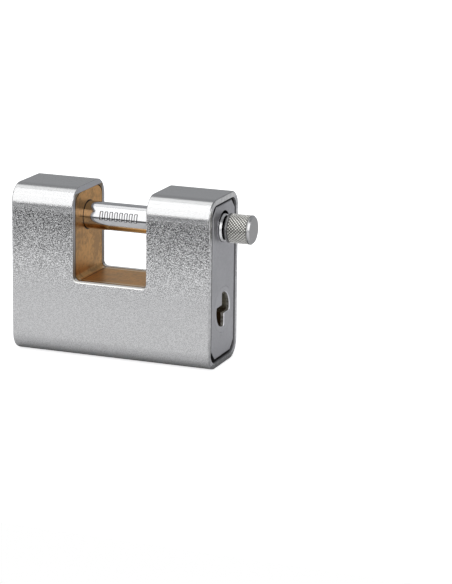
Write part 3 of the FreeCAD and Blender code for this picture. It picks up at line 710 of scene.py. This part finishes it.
def place_camera():
    """The camera stands off the sheath's centre, moved aside to frame the padlock as the photograph does."""
    right, up, back = camera_axes()
    data = bpy.data.cameras.new("photo_camera")
    data.sensor_width = SENSOR
    data.lens = FOCAL_PIXELS * SENSOR / max(PHOTO_SIZE)
    camera = bpy.data.objects.new("photo_camera", data)
    bpy.context.scene.collection.objects.link(camera)
    place = SHEATH_CENTRE + back * CAMERA_DISTANCE - right * CAMERA_ASIDE[0] - up * CAMERA_ASIDE[1]
    turn = Matrix((right, up, back)).transposed().to_4x4()
    camera.matrix_world = Matrix.Translation(place) @ turn
    bpy.context.scene.camera = camera


def lamp(name, place, aim, size, power):
    """A white rectangular lamp at a place, turned towards a point."""
    data = bpy.data.lights.new(name, "AREA")
    data.shape = "RECTANGLE"
    data.size, data.size_y = size
    data.energy = power
    light = bpy.data.objects.new(name, data)
    bpy.context.scene.collection.objects.link(light)
    towards = Vector(aim) - Vector(place)
    turn = towards.to_track_quat("-Z", "Y").to_matrix().to_4x4()
    light.matrix_world = Matrix.Translation(Vector(place)) @ turn


def table_finish():
    """A pale table. The camera sees it lifted to white, a little less in the soft shadow round the padlock;
    for all other rays it glows faintly, and not at all under the padlock."""
    finish = Finish("stage_floor")
    here = finish.place()
    across = finish.part(here, "X")
    deep = finish.part(here, "Y")
    distance = (across * across + deep * deep) ** 0.5
    lift = finish.remap(distance, 30 * MM, 150 * MM, 0.72, 1.0)
    beside = finish.larger(finish.size(across) - SHEATH_HIGH.x, finish.size(deep) - SHEATH_HIGH.y)
    glow = finish.remap(beside, 1 * MM, 22 * MM, 0.0, TABLE_GLOW)
    seen = finish.add("ShaderNodeLightPath", output="Is Camera Ray")
    return finish.set(
        Base_Color=(0.88, 0.88, 0.89), Roughness=0.95, Emission_Strength=1.0,
        Emission_Color=finish.mix(seen * lift + (1 - seen) * glow, BLACK, WHITE),
    )


def set_world(scene):
    """White for the camera; for all other rays a cool grey that is dark in front and lighter behind."""
    cool = (0.95, 0.97, 1.0)
    front_grey = 0.15
    back_grey = 0.36
    world = bpy.data.worlds.new("studio")
    scene.world = world
    world.use_nodes = True
    sky = Nodes(world.node_tree)
    seen = sky.add("ShaderNodeLightPath", output="Is Camera Ray")
    towards_back = sky.part(sky.add("ShaderNodeTexCoord", output="Generated"), "Y")
    grey = sky.remap(towards_back, -0.6, 0.8, front_grey, back_grey)
    background = sky.tree.nodes["Background"]
    sky.feed(background.inputs["Color"], sky.mix(seen, cool, WHITE))
    sky.feed(background.inputs["Strength"], seen + (1 - seen) * grey)


class PADLOCK_OT_stage(bpy.types.Operator):
    """Lay the table, set the lamps and the world, and place the camera"""

    bl_idname = "padlock.stage"
    bl_label = "Stage, lights and camera"

    def execute(self, context):
        corners = np.array([
            (-TABLE_HALF, TABLE_FRONT, 0), (TABLE_HALF, TABLE_FRONT, 0),
            (TABLE_HALF, TABLE_HALF, 0), (-TABLE_HALF, TABLE_HALF, 0)])
        add_piece("floor", corners, [(0, 1, 2, 3)], table_finish())
        lamp("front_softbox", (-0.20, -0.74, 0.37), (-0.20, 0, 0.10), size=(1.5, 0.76), power=4.1)
        lamp("overhead_softbox", (-0.28, -0.36, 0.76), (-0.28, -0.36, 0), size=(0.6, 0.64), power=1.4)
        lamp("rear_softbox", (-0.28, 0.16, 0.78), (-0.28, 0.16, 0), size=(0.6, 0.36), power=0.53)
        lamp("right_softbox", (0.75, -0.08, 0.27), (0, 0, 0.03), size=(0.55, 0.46), power=1.0)
        set_world(context.scene)
        place_camera()
        context.scene.view_settings.view_transform = "Standard"
        return {"FINISHED"}


OPERATORS = (
    PADLOCK_OT_sheath, PADLOCK_OT_plates, PADLOCK_OT_body,
    PADLOCK_OT_inner, PADLOCK_OT_bolt, PADLOCK_OT_stage,
)


class PADLOCK_PT_panel(bpy.types.Panel):
    """Buttons for each part of the padlock's looks, and their colours and sizes"""

    bl_idname = "PADLOCK_PT_panel"
    bl_label = "Padlock"
    bl_space_type = "VIEW_3D"
    bl_region_type = "UI"
    bl_category = "Padlock"

    def draw(self, context):
        for operator in OPERATORS:
            self.layout.operator(operator.bl_idname)
        for group in (context.scene.padlock_colours, context.scene.padlock_sizes):
            for name in group.__annotations__:
                self.layout.prop(group, name)


CLASSES = (LookSizes, LookColours, *OPERATORS, PADLOCK_PT_panel)


def register():
    for item in CLASSES:
        bpy.utils.register_class(item)
    bpy.types.Scene.padlock_sizes = PointerProperty(type=LookSizes)
    bpy.types.Scene.padlock_colours = PointerProperty(type=LookColours)


def unregister():
    del bpy.types.Scene.padlock_sizes
    del bpy.types.Scene.padlock_colours
    for item in reversed(CLASSES):
        bpy.utils.unregister_class(item)


def main():
    register()
    bpy.ops.padlock.sheath()
    bpy.ops.padlock.plates()
    bpy.ops.padlock.body()
    bpy.ops.padlock.inner()
    bpy.ops.padlock.bolt()
    bpy.ops.padlock.stage()
    bpy.context.view_layer.update()


if __name__ == "__main__":
    main()
